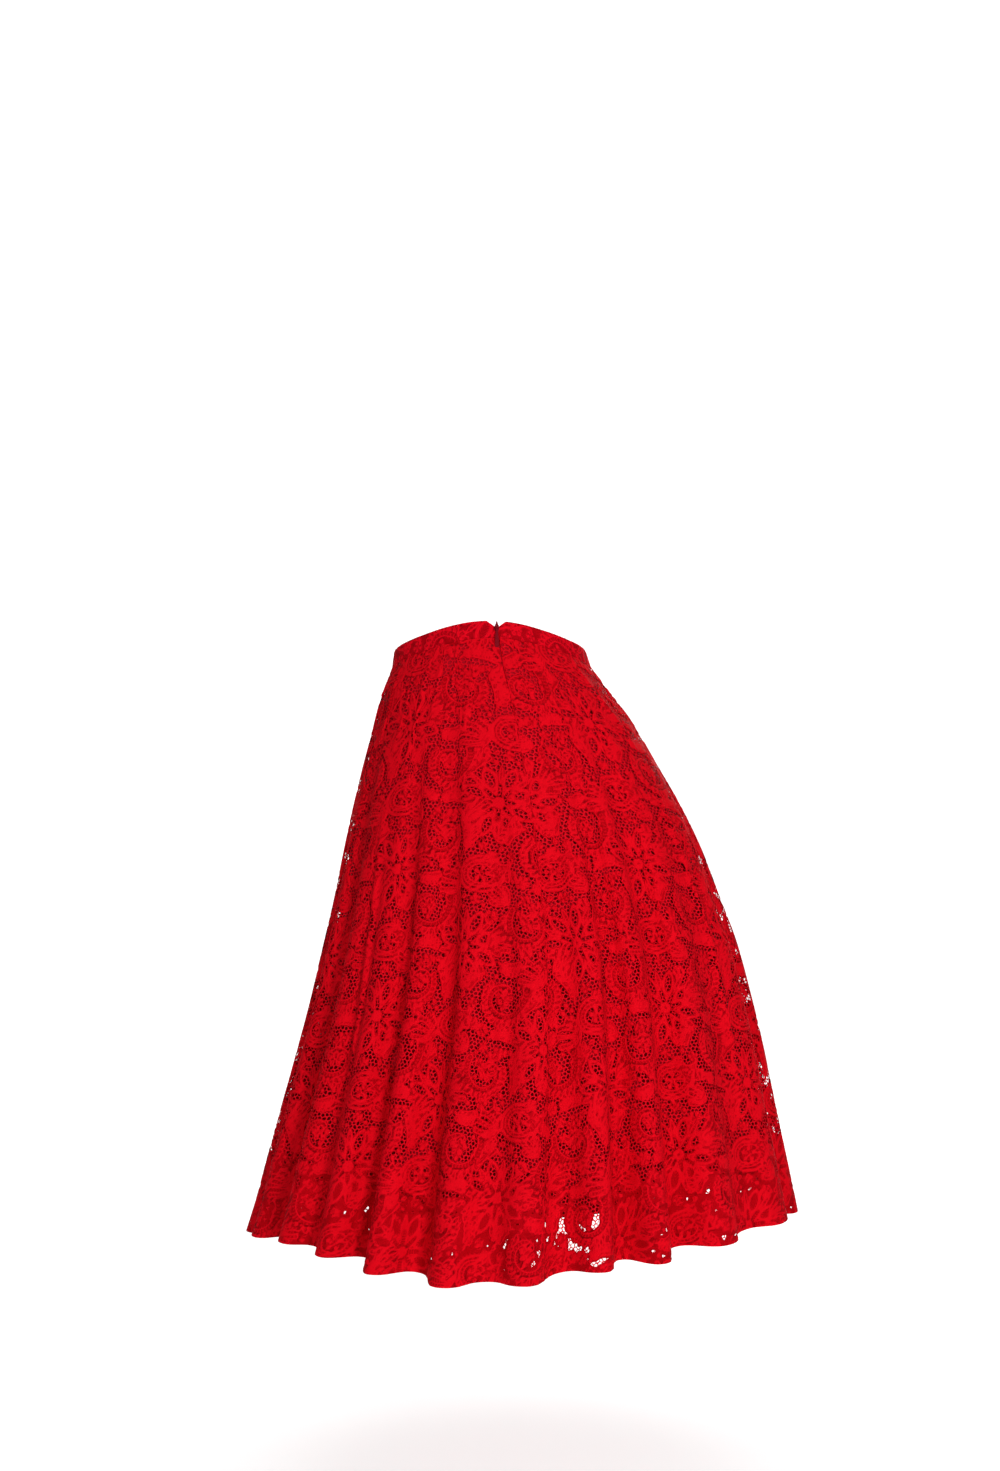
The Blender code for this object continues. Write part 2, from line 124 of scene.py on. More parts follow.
def read_table(rows, at):
    """The columns of a table at the given heights, on smooth curves through its rows."""
    table = np.array(rows)
    known, columns = table[:, 0], table[:, 1:]
    slopes = np.gradient(columns, known, axis=0)
    i = np.clip(np.searchsorted(known, at) - 1, 0, len(known) - 2)
    span = (known[i + 1] - known[i])[:, None]
    t = (at - known[i])[:, None] / span
    curve = columns[i] * (2 * t**3 - 3 * t**2 + 1) + columns[i + 1] * (3 * t**2 - 2 * t**3)
    curve += span * (slopes[i] * (t**3 - 2 * t**2 + t) + slopes[i + 1] * (t**3 - t**2))
    return curve.T


def flute_place(flute):
    """(angle, which flute, how far through it) of places counted in flutes from the first crest."""
    crest = np.array([row.crest for row in FLUTES] + [360])
    turns, index = np.divmod(np.floor(flute).astype(int), FLUTE_COUNT)
    through = flute - np.floor(flute)
    eased = through + FLANK_STEEPNESS / (4 * math.pi) * np.sin(4 * math.pi * through)
    degrees = 360 * turns + crest[index] + (crest[index + 1] - crest[index]) * eased
    return np.radians(degrees), index, through


def waist_lift(angle):
    """How much higher the waist stands at an angle than at the wearer's sides."""
    arch = WAIST_MEAN_LIFT * (1 + np.cos(2 * angle)) - WAIST_PEAK * (1 - np.cos(4 * angle))
    return arch + WAIST_TILT * np.cos(angle)


def ring_points(left, right, back, front, angle, inward, z):
    """Points at angles round a ring that reaches so far to each of its four sides, moved inward."""
    half_width = (left + right) / 2
    depth = np.where(np.cos(angle) > 0, back, front)
    sine, cosine = np.sin(angle), np.cos(angle)
    out_x, out_y = depth * sine, half_width * cosine
    long = np.hypot(out_x, out_y)
    x = (left - right) / 2 + half_width * sine - out_x / long * inward
    y = depth * cosine - out_y / long * inward
    return np.stack([x, y, z], axis=1)


def skirt_points(flute, drop, flute_share=1.0, inset=0.0):
    """Points of the lace's face, or of a face inside it that takes a share of its flutes."""
    left, right, back, front = read_table(SECTIONS, drop)
    share = drop / HEM_DROP
    angle, index, through = flute_place(flute)
    depth, start, hem = np.array(FLUTES).T[1:]
    grown = np.maximum(share - start[index], 0) / (1 - start[index])
    trough = (1 - np.cos(2 * math.pi * through)) / 2
    inward = inset + flute_share * depth[index] * grown**FLUTE_GROWTH * trough
    following = hem[(index + 1) % FLUTE_COUNT]
    uneven = hem[index] + (following - hem[index]) * (1 - np.cos(math.pi * through)) / 2
    dip = HEM_MEAN_DIP + HEM_TILT * np.cos(angle) + uneven
    z = -BAND_HEIGHT - drop + waist_lift(angle) * (1 - share) - dip * share
    return ring_points(left, right, back, front, angle, inward, z)


def normals(surface, flute, drop, step=1e-3):
    """The outward normals of a surface given as surface(flute, drop)."""
    along = surface(flute + step, drop) - surface(flute - step, drop)
    down = surface(flute, drop + step) - surface(flute, np.maximum(drop - step, 0))
    cross = np.cross(along, down)
    return cross / np.linalg.norm(cross, axis=1)[:, None]


def flat_places(mesh):
    """(flute, drop) of each vertex of a mesh that is still laid out flat."""
    flat = np.empty(len(mesh.vertices) * 3, np.float32)
    mesh.vertices.foreach_get("co", flat)
    return flat.reshape(-1, 3)[:, :2].astype(float).T


def hang(mesh, surface, lift):
    """Moves a flat mesh, laid out as (flute, drop), onto a surface, and lifts it off along the normals."""
    flute, drop = flat_places(mesh)
    places = surface(flute, drop) + normals(surface, flute, drop) * np.reshape(lift, (-1, 1))
    mesh.vertices.foreach_set("co", places.astype(np.float32).ravel())


def flat_grid(columns, rows, start, end, top, bottom):
    """A grid laid out as (flute, drop), its faces pointing the way that comes out when it is hung."""
    bm = bmesh.new()
    bmesh.ops.create_grid(bm, x_segments=columns, y_segments=rows, size=0.5)
    bmesh.ops.scale(bm, verts=bm.verts, vec=(end - start, bottom - top, 1))
    bmesh.ops.translate(bm, verts=bm.verts, vec=((start + end) / 2, (top + bottom) / 2, 0))
    return bm


def as_mesh(name, bm):
    """A mesh made from a BMesh, which is freed."""
    mesh = bpy.data.meshes.new(name)
    bm.to_mesh(mesh)
    bm.free()
    return mesh


def add_piece(mesh, material):
    """A piece of cloth that rides on the skirt, named like its mesh."""
    mesh.shade_smooth()
    mesh.materials.append(material)
    piece = bpy.data.objects.new(mesh.name, mesh)
    bpy.context.scene.collection.objects.link(piece)
    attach(piece, "skirt")
    return piece


def thicken(piece, thickness):
    """Gives a piece its cloth's thickness, inwards from its face."""
    wall = piece.modifiers.new("wall", "SOLIDIFY")
    wall.thickness = thickness
    wall.offset = -1


def new_material(name):
    """(material, its node tree, its shader)"""
    material = bpy.data.materials.new(name)
    material.use_nodes = True
    return material, material.node_tree, material.node_tree.nodes["Principled BSDF"]


def tint_between(dark, bright):
    """A node that mixes two colours, as add_nodes takes it."""
    return "ShaderNodeMix", {"data_type": "RGBA", 6: (*dark, 1), 7: (*bright, 1)}


def add_nodes(tree, **kinds):
    """Adds nodes, each given as name=(kind, settings), and returns them and the tree's shader by name."""
    made = {"shader": tree.nodes.get("Principled BSDF")}
    for name, (kind, settings) in kinds.items():
        node = tree.nodes.new(kind)
        for key, value in settings.items():
            if isinstance(key, int) or key in node.inputs:
                node.inputs[key].default_value = value
            else:
                setattr(node, key, value)
        made[name] = node
    return made


def link_nodes(tree, made, *links):
    """Links nodes by name, each link given as (from, its output, to, its input)."""
    for source, output, target, socket in links:
        tree.links.new(made[source].outputs[output], made[target].inputs[socket])


def set_uv(mesh, u, v):
    """Lays a mesh out on its cloth, with a place in metres for each vertex."""
    corners = np.empty(len(mesh.loops), np.int32)
    mesh.loops.foreach_get("vertex_index", corners)
    layer = mesh.uv_layers.new(name="cloth")
    layer.data.foreach_set("uv", np.stack([u[corners], v[corners]], axis=1).astype(np.float32).ravel())


# Each panel is cut as a sector of one flat ring of cloth. A place on it is its distance from the ring's
# middle and its angle, which follows the length of the cloth round a low row of the skirt
CUT_RADIUS = 0.263
CUT_ANGLE = 2.72
EVEN_DROP = 0.50
STEPS_PER_FLUTE = 100
STEPS_DOWN = 23
rounds = np.linspace(CENTRE_SEAM, CENTRE_SEAM + FLUTE_COUNT, FLUTE_COUNT * STEPS_PER_FLUTE + 1)
low_row = skirt_points(rounds, np.full_like(rounds, EVEN_DROP))
steps_round = np.linalg.norm(np.diff(low_row, axis=0), axis=1)
cut_angles = np.concatenate(([0], np.cumsum(steps_round))) / steps_round.sum() * CUT_ANGLE
lengths_down = np.zeros_like(rounds)
upper_row = skirt_points(rounds, np.zeros_like(rounds))
for height in np.linspace(0, HEM_DROP, STEPS_DOWN + 1)[1:]:
    lower_row = skirt_points(rounds, np.full_like(rounds, height))
    lengths_down += np.linalg.norm(lower_row - upper_row, axis=1)
    upper_row = lower_row


def on_cut(flute, drop):
    """(distance from the ring's middle, angle) of places on the flat cloth."""
    long = np.interp(flute, rounds, lengths_down)
    return CUT_RADIUS + long * drop / HEM_DROP, np.interp(flute, rounds, cut_angles)


LINING_THICKNESS = 1.0 * MM
LINING_COLUMNS_PER_FLUTE = 16
LINING_GRID_ROWS = 90
LINING_TOP = 0.3 * MM
LINING_SINK = 0.3 * MM

# How far the lining hangs inside the lace's face, and how much of its flutes it takes
LiningRow = namedtuple("LiningRow", "drop inset flute_share")
LINING_ROWS = (
    LiningRow(drop=0.000, inset=0.0015, flute_share=1.00),
    LiningRow(drop=0.038, inset=0.0022, flute_share=1.00),
    LiningRow(drop=0.100, inset=0.0036, flute_share=0.95),
    LiningRow(drop=0.223, inset=0.0075, flute_share=0.85),
    LiningRow(drop=0.346, inset=0.0150, flute_share=0.70),
    LiningRow(drop=0.469, inset=0.0250, flute_share=0.55),
    LiningRow(drop=0.560, inset=0.0330, flute_share=0.48),
    LiningRow(drop=0.636, inset=0.0400, flute_share=0.42),
)
LINING_DROP = LINING_ROWS[-1].drop


def lining_points(flute, drop):
    inset, flute_share = read_table(LINING_ROWS, drop)
    return skirt_points(flute, drop, flute_share, inset)


def satin():
    material, tree, shader = new_material("satin lining")
    made = add_nodes(
        tree,
        uv=("ShaderNodeUVMap", {"uv_map": "cloth"}),
        rib=("ShaderNodeTexWave", {"Scale": 700.0, "Distortion": 0.6, "bands_direction": "Y"}),
        mottle=("ShaderNodeTexNoise", {"Scale": 14.0, "Detail": 3.0}),
        tint=tint_between((0.42, 0.003, 0.010), (0.56, 0.006, 0.016)),
        bump=("ShaderNodeBump", {"Strength": 0.25, "Distance": 0.0002}),
        wrinkle=("ShaderNodeTexNoise", {"Scale": 38.0, "Detail": 2.0, "Distortion": 1.2}),
        crumple=("ShaderNodeBump", {"Strength": 0.35, "Distance": 0.0015}),
    )
    link_nodes(
        tree, made,
        ("uv", "UV", "rib", "Vector"),
        ("uv", "UV", "mottle", "Vector"),
        ("uv", "UV", "wrinkle", "Vector"),
        ("mottle", 0, "tint", "Factor"),
        ("tint", 2, "shader", "Base Color"),
        ("rib", "Fac", "bump", "Height"),
        ("wrinkle", 0, "crumple", "Height"),
        ("bump", "Normal", "crumple", "Normal"),
        ("crumple", "Normal", "shader", "Normal"),
    )
    shader.inputs["Roughness"].default_value = 0.42
    shader.inputs["Specular IOR Level"].default_value = 0.02
    shader.inputs["Specular Tint"].default_value = (1.0, 0.25, 0.30, 1)
    return material


satin_cloth = satin()
for panel in PANELS:
    columns = round((panel.end - panel.start) * LINING_COLUMNS_PER_FLUTE)
    grid = flat_grid(columns, LINING_GRID_ROWS, panel.start, panel.end, LINING_TOP, LINING_DROP)
    mesh = as_mesh(f"lining_cloth_{panel.name}", grid)
    radius, angle = on_cut(*flat_places(mesh))
    hang(mesh, lining_points, -LINING_SINK)
    set_uv(mesh, angle * radius, radius)
    lining = add_piece(mesh, satin_cloth)
    thicken(lining, LINING_THICKNESS)
    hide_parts(f"lining_{panel.name}")
    share = (panel.end - panel.start) / FLUTE_COUNT


# The lace: three panels of corded red lace, each in one length down to a narrow turned hem, seamed at the
# sides and at the centre back, and sewn into the waistband. Its motifs are close and corded, on a net. Their
# repeat is a half-drop in millimetres: each column of motifs stands half a repeat lower than the last.
REPEAT_WIDTH = 140.0
REPEAT_HEIGHT = 180.0
DOT = 0.5
FAR_OFF = 9.0
STAMP_MARGIN = 4.0
PETAL_LEAN = 1.3
PETAL_ROUNDNESS = 0.8
PETAL_SLOPE = 0.85
PETAL_RIBS = (0.9, 1.6)
WINDOW_SHIFT = 0.08
TOOTH_ANGLE = 1.107
LEAFLET_ANGLE = 0.95
CURL_END = 0.30
CURL_STEPS = 22
dots_across = int(2 * REPEAT_WIDTH / DOT)
dots_down = int(REPEAT_HEIGHT / DOT)
motif_edge = np.full((dots_down, dots_across), FAR_OFF)
motif_vein = np.zeros((dots_down, dots_across))


def stamp(x, y, reach, shape):
    """Lays a shape into the repeat at both places of the half-drop, wherever it is the nearer one."""
    for copy in (0, 1):
        left = x + copy * REPEAT_WIDTH
        top = y + copy * REPEAT_HEIGHT / 2
        columns = np.arange(math.floor((left - reach) / DOT), math.ceil((left + reach) / DOT))
        rows = np.arange(math.floor((top - reach) / DOT), math.ceil((top + reach) / DOT))
        dx, dy = np.meshgrid(columns * DOT - left, rows * DOT - top)
        distance, stripe = shape(dx, dy)
        window = np.ix_(rows % dots_down, columns % dots_across)
        nearer = distance < motif_edge[window]
        motif_edge[window] = np.where(nearer, distance, motif_edge[window])
        motif_vein[window] = np.where(nearer, stripe, motif_vein[window])


def stroke(points, wide, narrow, slant=0.8):
    """A corded band along a row of points, tapering from wide to narrow."""
    points = np.array(points, float)
    lengths = np.hypot(*np.diff(points, axis=0).T)
    run = np.concatenate(([0], np.cumsum(lengths)))
    for (ax, ay), (bx, by), start, length in zip(points, points[1:], run, lengths):
        radius = [(wide + (narrow - wide) * s / run[-1]) / 2 for s in (start, start + length)]

        def shape(dx, dy):
            ux, uy = (bx - ax) / length, (by - ay) / length
            along = np.clip(dx * ux + dy * uy, -length / 2, length / 2)
            off = np.hypot(dx - along * ux, dy - along * uy)
            share = along / length + 0.5
            return off - radius[0] - (radius[1] - radius[0]) * share, start + along + slant * off

        stamp((ax + bx) / 2, (ay + by) / 2, length / 2 + max(radius) + STAMP_MARGIN, shape)


def petal(x, y, turn, length, width, window=0.0):
    """A petal that grows from a point: a rounded lens, its middle left open where window is above 0."""
    c, s = math.cos(turn), math.sin(turn)

    def shape(dx, dy):
        along, off = dx * c + dy * s, np.abs(dy * c - dx * s)
        t = np.clip(along / length + 0.5, 0, 1)
        half = width / 2 * np.sin(math.pi * t**PETAL_LEAN) ** PETAL_ROUNDNESS
        outside = np.hypot(np.maximum(np.abs(along) - length / 2, 0), np.maximum(off - half, 0))
        inside = np.maximum(off - half, np.abs(along) - length / 2) * PETAL_SLOPE
        body = np.where(outside > 0, outside, inside)
        if window:
            shifted = along - WINDOW_SHIFT * length
            slot = np.hypot(off / (width * window / 2), shifted / (length * window / 2)) - 1
            body = np.maximum(body, -slot * width * window / 2)
        return body, along * PETAL_RIBS[0] + off * PETAL_RIBS[1]

    stamp(x + c * length / 2, y + s * length / 2, length / 2 + width, shape)


def ring(x, y, radius, width, squash=1.0, turn=0.0):
    """A corded ring, or an oval one."""
    c, s = math.cos(turn), math.sin(turn)

    def shape(dx, dy):
        u, v = dx * c + dy * s, (dy * c - dx * s) / squash
        return np.abs(np.hypot(u, v) - radius) - width / 2, np.arctan2(v, u) * radius

    stamp(x, y, radius * max(squash, 1) + width, shape)


def flower(x, y, petals, inner, length, width, turn=0.0, window=0.0):
    """A flower: a small ring with petals round it."""
    ring(x, y, inner * 0.72, inner * 0.5)
    for k in range(petals):
        a = turn + 2 * math.pi * k / petals
        petal(x + inner * math.cos(a), y + inner * math.sin(a), a, length, width, window)


def curl(x, y, radius, turn, sweep):
    """The points of a scroll that winds inwards from its outer end."""
    points = []
    for k in range(CURL_STEPS + 1):
        s = k / CURL_STEPS
        r = radius * (1 - (1 - CURL_END) * s)
        points.append((x + r * math.cos(turn + sweep * s), y + r * math.sin(turn + sweep * s)))
    return points


def comb(points, tooth, width, side):
    """Short teeth on one side of a row of points."""
    for (ax, ay), (bx, by) in zip(points, points[1:]):
        heading = math.atan2(by - ay, bx - ax)
        petal(ax, ay, heading + side * TOOTH_ANGLE, tooth, width)


def bow(start, end, bulge, steps=10):
    """The points of a curved stem from start to end."""
    (ax, ay), (bx, by) = start, end
    points = []
    for k in range(steps + 1):
        s = k / steps
        lift = 4 * bulge * s * (1 - s)
        points.append((ax + (bx - ax) * s - (by - ay) * lift, ay + (by - ay) * s + (bx - ax) * lift))
    return points


def frond(start, end, bulge, leaflet, width, steps):
    """A feathered leaf: a stem with leaflets on both sides, longest in its middle."""
    stem = bow(start, end, bulge, steps)
    stroke(stem, wide=3.2, narrow=1.6)
    for k in range(1, steps):
        (ax, ay), (bx, by) = stem[k], stem[k + 1]
        heading = math.atan2(by - ay, bx - ax)
        long = leaflet * (0.55 + 0.45 * math.sin(math.pi * k / steps))
        for side in (-1, 1):
            petal(ax, ay, heading + side * LEAFLET_ANGLE, long, width)
    petal(bx, by, heading, leaflet * 0.7, width)


def fan(x, y, heading, fingers, spread, length, width, bend):
    """A shell of fingers that open out from one root, the outer ones bent the most."""
    for k in range(fingers):
        side = 2 * k / (fingers - 1) - 1
        a = heading + spread / 2 * side
        reach = length * (1 - 0.25 * side**2)
        tip = (x + reach * math.cos(a), y + reach * math.sin(a))
        stroke(bow((x, y), tip, bend * side), width * 0.5, width)


flower(0, 0, petals=8, inner=7, length=41, width=17, turn=0.25, window=0.55)
ring(0, 0, 2.4, 2.4)
for k in range(8):
    spoke = 0.25 + 2 * math.pi * (k + 0.5) / 8
    petal(20 * math.cos(spoke), 20 * math.sin(spoke), spoke, length=27, width=7.0)

Scroll = namedtuple("Scroll", "x y radius turn sweep wide narrow tooth side")
for row in (
    Scroll(x=72, y=44, radius=31, turn=2.7, sweep=5.6, wide=9.5, narrow=6.5, tooth=15, side=-1),
    Scroll(x=66, y=134, radius=29, turn=0.4, sweep=-5.4, wide=9.0, narrow=6.0, tooth=14, side=1),
):
    band = curl(row.x, row.y, row.radius, row.turn, row.sweep)
    stroke(band, row.wide, row.narrow)
    comb(band[1:17], row.tooth, width=7.5, side=row.side)
    flower(row.x, row.y, petals=6, inner=3.4, length=8.5, width=7.0)

ring(0, 90, radius=14, width=6.0, squash=1.35, turn=1.45)
ring(0, 90, radius=21.5, width=3.6, squash=1.25, turn=1.45)
flower(0, 90, petals=5, inner=3.6, length=7.0, width=6.2, turn=0.3)
Fan = namedtuple("Fan", "x y heading fingers spread length width bend")
for row in (
    Fan(x=26, y=74, heading=0.15, fingers=5, spread=1.5, length=34, width=7.5, bend=0.16),
    Fan(x=112, y=104, heading=3.0, fingers=5, spread=1.5, length=30, width=7.5, bend=0.16),
    Fan(x=30, y=160, heading=2.3, fingers=4, spread=1.3, length=26, width=7.0, bend=0.14),
    Fan(x=108, y=20, heading=-0.9, fingers=4, spread=1.3, length=27, width=7.0, bend=-0.14),
    Fan(x=100, y=152, heading=0.5, fingers=4, spread=1.2, length=26, width=7.0, bend=0.14),
):
    fan(*row)

Frond = namedtuple("Frond", "start end bulge leaflet width steps")
for row in (
    Frond(start=(44, 16), end=(20, 58), bulge=-0.20, leaflet=15, width=7.0, steps=8),
    Frond(start=(100, 64), end=(124, 40), bulge=0.25, leaflet=13, width=7.0, steps=6),
    Frond(start=(92, 82), end=(58, 84), bulge=0.20, leaflet=12, width=6.6, steps=7),
    Frond(start=(26, 112), end=(40, 160), bulge=0.18, leaflet=13, width=6.8, steps=8),
    Frond(start=(78, 172), end=(44, 178), bulge=-0.20, leaflet=11, width=6.2, steps=7),
):
    frond(*row)
for x, y in ((104, 4), (38, 92), (100, 118), (116, 132), (22, 132), (60, 100), (132, 22), (88, 0)):
    flower(x, y, petals=6, inner=2.8, length=6.5, width=6.0)

# Small flowers and rings in the room that is left, and at last every motif grown by a little
GROWN = 0.5
SPRIG_PITCH = 9.5
SPRIG_SHIFT = 1.5
SPRIG_ROOM = 4.4
FLORET_ROOM = SPRIG_ROOM + 3.0
for row in range(int(REPEAT_HEIGHT / SPRIG_PITCH)):
    for column in range(int(REPEAT_WIDTH / SPRIG_PITCH)):
        x = (column + 0.5 * (row % 2)) * SPRIG_PITCH + SPRIG_SHIFT * math.sin(3.1 * row + column)
        y = row * SPRIG_PITCH + SPRIG_SHIFT * math.cos(2.3 * column + row)
        room = motif_edge[int(y / DOT) % dots_down, int(x / DOT) % dots_across]
        if room > FLORET_ROOM:
            flower(x, y, petals=5, inner=2.4, length=5.0, width=4.6, turn=0.7 * column)
        elif room > SPRIG_ROOM:
            ring(x, y, radius=1.7, width=2.6)
motif_edge -= GROWN


def read_repeat(raster, x, y):
    """The values of the repeat at places on the cloth, in millimetres."""
    column, row = x / DOT, y / DOT
    c, r = np.floor(column).astype(int), np.floor(row).astype(int)
    u, v = column - c, row - r
    c0, c1, r0, r1 = c % dots_across, (c + 1) % dots_across, r % dots_down, (r + 1) % dots_down
    above = raster[r0, c0] * (1 - u) + raster[r0, c1] * u
    below = raster[r1, c0] * (1 - u) + raster[r1, c1] * u
    return above * (1 - v) + below * v


# Each panel is cut with its grain down its own middle. Above UPPER_DROP its mesh has half the columns.
# Towards the hem the motifs grow into a border, but for one more open place near OPEN_FLUTE
LACE_CELL = 3.0
UPPER_DROP = 0.26
HEM_WIDTH = 6.5
BORDER_WIDTH = 100.0
BORDER_FADE = 40.0
BORDER_GROWN = 4.2
OPEN_FLUTE = FLUTE_COUNT - 0.8
OPEN_WIDTH = 0.4
OPEN_SHARE = 0.75
LEAST_EDGE = 0.08
WELD = 1e-6
SEAM_EDGE = 1.6
WAIST_EDGE = 1.6
NET_PITCH = 5.1
NET_THREAD = 1.6
NET_OVERLAP = 0.30
NET_FROM_HEM = 4.0 * MM
NET_MARGIN = 1.0 * MM
NET_SWAY = 0.7
NET_SPAN = 60


def on_grain(panel, flute, drop):
    """(x, y) in millimetres on a panel's flat cloth, y up along its grain."""
    radius, angle = on_cut(flute, drop)
    middle = np.interp((panel.start + panel.end) / 2, rounds, cut_angles)
    return radius * np.sin(angle - middle) / MM, -radius * np.cos(angle - middle) / MM


def from_grain(panel, x, y):
    """(flute, drop) of places in millimetres on a panel's flat cloth."""
    middle = np.interp((panel.start + panel.end) / 2, rounds, cut_angles)
    flute = np.interp(np.arctan2(x, -y) + middle, cut_angles, rounds)
    return flute, (np.hypot(x, y) * MM - CUT_RADIUS) / np.interp(flute, rounds, lengths_down) * HEM_DROP


def openness(panel, flute, drop):
    """How far, in millimetres, places lie outside the close cloth: in the open net where it is above 0."""
    x, y = on_grain(panel, flute, drop)
    radius, angle = on_cut(flute, drop)
    first, last = (np.interp(seam, rounds, cut_angles) for seam in (panel.start, panel.end))
    from_seam = np.minimum(angle - first, last - angle) * radius / MM
    from_hem = (HEM_DROP - drop) / MM - HEM_WIDTH
    grown = BORDER_GROWN * (1 - OPEN_SHARE * np.exp(-(((flute - OPEN_FLUTE) / OPEN_WIDTH) ** 2)))
    grown = grown * np.clip((BORDER_WIDTH - from_hem) / BORDER_FADE, 0, 1)
    open_by = read_repeat(motif_edge, x, y) - grown
    from_waist = drop / MM - WAIST_EDGE
    return np.minimum(np.minimum(open_by, from_seam - SEAM_EDGE), np.minimum(from_hem, from_waist))


def cut_away(bm, panel):
    """Cuts the close cloth along its edges and takes the open parts away."""
    flute, drop = np.array([vert.co[:2] for vert in bm.verts]).T
    value = openness(panel, flute, drop)
    value = np.where(np.abs(value) < LEAST_EDGE, -LEAST_EDGE, value)
    edges = list(bm.edges)
    ends = np.array([[vert.index for vert in edge.verts] for edge in edges])
    near, far = value[ends[:, 0]], value[ends[:, 1]]
    fresh = []
    for k in np.flatnonzero(near * far < 0):
        share = float(near[k] / (near[k] - far[k]))
        fresh.append(bmesh.utils.edge_split(edges[k], edges[k].verts[0], share)[1])
    bmesh.ops.connect_verts(bm, verts=fresh)
    bm.verts.index_update()
    value = np.concatenate([value, np.zeros(len(fresh))]).tolist()
    open_faces = [face for face in bm.faces if sum(value[vert.index] for vert in face.verts) > 0]
    bmesh.ops.delete(bm, geom=open_faces, context="FACES")


def repeat_by_doubling(bm, count, step):
    """Repeats all of a mesh along a step, at least count times."""
    made = 1
    while made < count:
        copied = bmesh.ops.duplicate(bm, geom=bm.verts[:] + bm.edges[:] + bm.faces[:])
        verts = [item for item in copied["geom"] if isinstance(item, bmesh.types.BMVert)]
        bmesh.ops.translate(bm, verts=verts, vec=step * made)
        made *= 2


def sway(along, across, pace, turn, slow):
    """Moves places a little in waves, so that the net isn't ruled."""
    return along + NET_SWAY * np.sin(across * pace + turn * np.sin(along * slow))


def net(panel):
    """The hexagonal net in a panel's open parts, laid out as (flute, drop)."""
    span = np.linspace(panel.start, panel.end, NET_SPAN)
    hem_x, hem_y = on_grain(panel, span, np.full_like(span, HEM_DROP))
    waist_y = on_grain(panel, span, np.zeros_like(span))[1]
    left, right = hem_x.min(), hem_x.max()
    bottom, top = hem_y.min(), waist_y.max()
    row_height = NET_PITCH * math.sqrt(3) / 2
    columns = math.ceil((right - left) / NET_PITCH) + 1
    rows = math.ceil((top - bottom) / row_height) + 1
    bm = bmesh.new()
    cell = NET_PITCH / math.sqrt(3)
    for first_row in (0, 1):
        place = Matrix.Translation((left + first_row * NET_PITCH / 2, bottom + first_row * row_height, 0.0))
        bmesh.ops.create_circle(bm, cap_ends=True, segments=6, radius=cell, matrix=place)
    repeat_by_doubling(bm, columns, Vector((NET_PITCH, 0, 0)))
    repeat_by_doubling(bm, math.ceil(rows / 2), Vector((0, 2 * row_height, 0)))
    holes = list(bm.faces)
    x, y = np.array([hole.calc_center_median()[:2] for hole in holes]).T
    flute, drop = from_grain(panel, x, y)
    value = openness(panel, flute, drop)
    between_seams = (flute > panel.start) & (flute < panel.end)
    between_edges = (drop > WAIST_EDGE * MM / 2) & (drop < HEM_DROP - NET_FROM_HEM)
    kept = (between_seams & between_edges & (value > -NET_PITCH * NET_OVERLAP)).tolist()
    bmesh.ops.delete(bm, geom=[hole for hole, keep in zip(holes, kept) if not keep], context="FACES")
    holes = list(bm.faces)
    bmesh.ops.inset_individual(bm, faces=holes, thickness=NET_THREAD / 2)
    bmesh.ops.delete(bm, geom=holes, context="FACES")
    x, y = np.array([vert.co[:2] for vert in bm.verts]).T
    x, y = sway(x, y, 0.61, 1.3, 0.23), sway(y, x, 0.53, 1.7, 0.31)
    flute, drop = from_grain(panel, x, y)
    flute = np.clip(flute, panel.start, panel.end)
    drop = np.clip(drop, NET_MARGIN, HEM_DROP - NET_MARGIN)
    for vert, flute_at, drop_at in zip(bm.verts, flute, drop):
        vert.co = (flute_at, drop_at, 0.0)
    return as_mesh(f"lace_net_{panel.name}", bm)


def close_cloth(panel):
    """The close part of a panel, its openings cut away, laid out as (flute, drop)."""
    first, last = np.interp((panel.start, panel.end), rounds, cut_angles)
    columns = round((last - first) * (CUT_RADIUS + lengths_down.mean()) / MM / LACE_CELL / 2) * 2
    rows = round(lengths_down.mean() / MM / LACE_CELL)
    upper_rows = round(rows * UPPER_DROP / HEM_DROP)
    whole = bmesh.new()
    for part in (
        flat_grid(columns // 2, upper_rows, panel.start, panel.end, 0.0, UPPER_DROP),
        flat_grid(columns, rows - upper_rows, panel.start, panel.end, UPPER_DROP, HEM_DROP),
    ):
        cut_away(part, panel)
        mesh = as_mesh(f"lace_{panel.name}_part", part)
        whole.from_mesh(mesh)
        bpy.data.meshes.remove(mesh)
    bmesh.ops.remove_doubles(whole, verts=whole.verts, dist=WELD)
    return as_mesh(f"lace_cloth_{panel.name}", whole)


